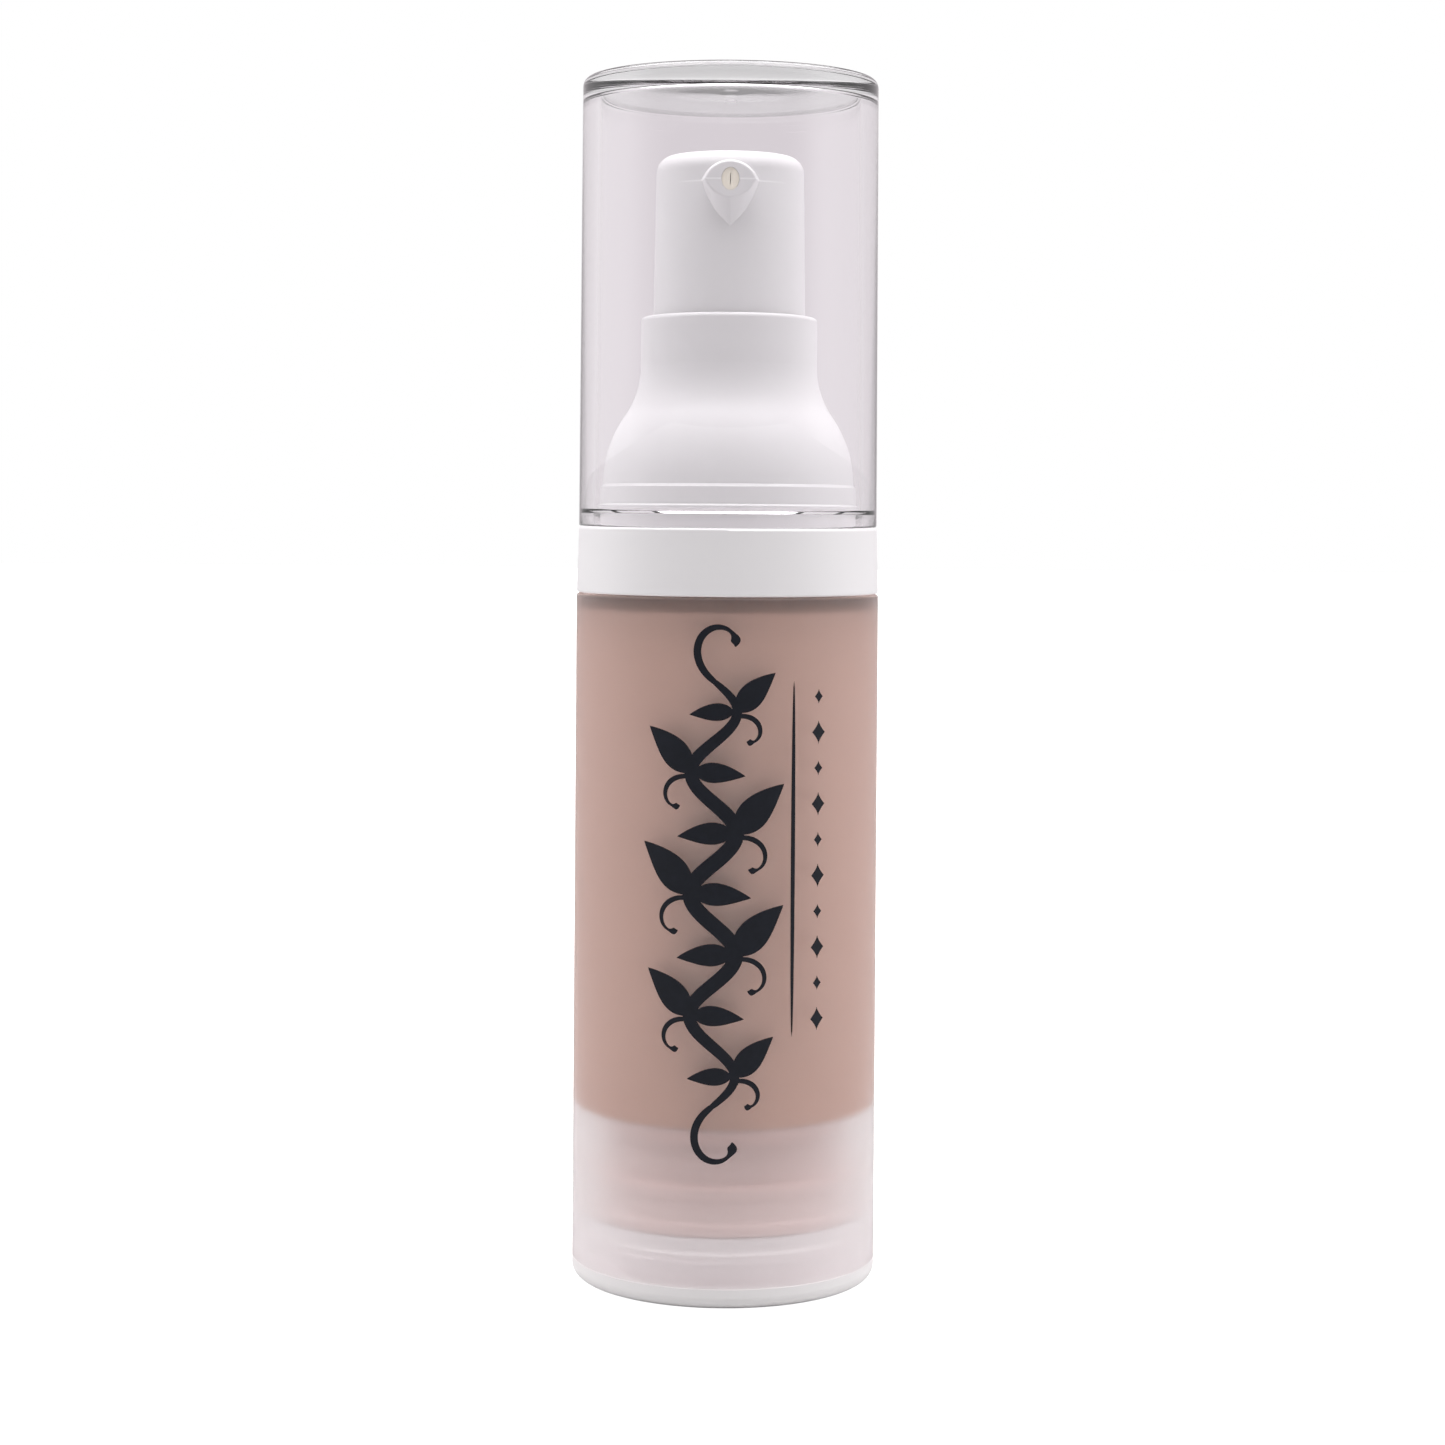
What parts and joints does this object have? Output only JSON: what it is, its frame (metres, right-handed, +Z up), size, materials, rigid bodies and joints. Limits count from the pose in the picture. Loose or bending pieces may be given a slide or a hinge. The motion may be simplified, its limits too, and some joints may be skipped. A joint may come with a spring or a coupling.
{
  "type": "foundation bottle",
  "caption": "Cylindrical frosted airless pump bottle for liquid foundation, with white screw collar, domed shoulder, push-down spout and clear lift-off overcap.",
  "frame": {"origin": "centre of the ring on the base that the bottle stands on", "axes": "+Z up along the bottle's axis to the overcap's top; the spout faces -Y"},
  "size_m": [0.03, 0.03, 0.1186],
  "materials": {
    "frosted_body": "frosted translucent PP wall, tinted by the foundation behind it",
    "frosted_base": "frosted natural PP",
    "follower_white": "satin moulded PE",
    "foundation": "beige liquid foundation",
    "soft_seal": "soft white sealing elastomer",
    "natural_plastic": "natural moulded PP",
    "steel_ball": "polished stainless steel",
    "spring_steel": "drawn stainless steel wire",
    "collar_white": "satin-gloss white moulded PP",
    "bell_white": "glossy white moulded PP",
    "actuator_white": "satin-gloss white moulded PP",
    "tip_cream": "cream self-closing elastomer",
    "clear_cap": "clear injection-moulded styrene acrylic, polished"
  },
  "bodies": {
    "container": {"bottle": "frosted_body", "base_plug": "frosted_base", "foundation_fill": "foundation"},
    "follower": {"follower_piston": "follower_white"},
    "pump": {"pump_chamber": "natural_plastic", "stem_guide": "natural_plastic", "neck_gasket": "soft_seal", "return_spring": "spring_steel"},
    "collar": {"screw_collar": "collar_white", "shoulder_bell": "bell_white"},
    "cap": {"overcap": "clear_cap"},
    "plunger": {"stem": "natural_plastic", "piston_rod": "natural_plastic"},
    "button": {"actuator": "actuator_white", "nozzle_tip": "tip_cream"},
    "seal": {"pump_piston": "soft_seal"},
    "ball": {"inlet_ball": "steel_ball"}
  },
  "joints": [
    {"name": "follower_rise", "type": "slide", "parent": "container", "child": "follower", "axis": [0, 0, 1], "range_m": [0, 0.0485], "deforming": ["foundation_fill"]},
    {"name": "pump_lift", "type": "slide", "parent": "container", "child": "pump", "axis": [0, 0, 1], "range_m": [0, 0.0046]},
    {"name": "collar_turn", "type": "hinge", "parent": "pump", "child": "collar", "pos_m": [0, 0, 0.0741], "axis": [0, 0, 1], "range_deg": [0, 540]},
    {"name": "overcap_lift", "type": "slide", "parent": "collar", "child": "cap", "axis": [0, 0, 1], "range_m": [0, 0.045]},
    {"name": "actuator_press", "type": "slide", "parent": "pump", "child": "plunger", "axis": [0, 0, -1], "range_m": [0, 0.004], "stiffness_N_per_m": 770, "springref_m": -0.006, "deforming": ["return_spring"]},
    {"name": "actuator_swivel", "type": "hinge", "parent": "plunger", "child": "button", "pos_m": [0, 0, 0.0985], "axis": [0, 0, 1], "continuous": true},
    {"name": "seal_slip", "type": "slide", "parent": "plunger", "child": "seal", "axis": [0, 0, 1], "range_m": [0, 0.001]},
    {"name": "ball_lift", "type": "slide", "parent": "pump", "child": "ball", "axis": [0, 0, 1], "range_m": [0, 0.0012]}
  ],
  "couplings": [
    {"joint": "pump_lift", "follows": "collar_turn", "m_per_rad": 0.00047746}
  ]
}
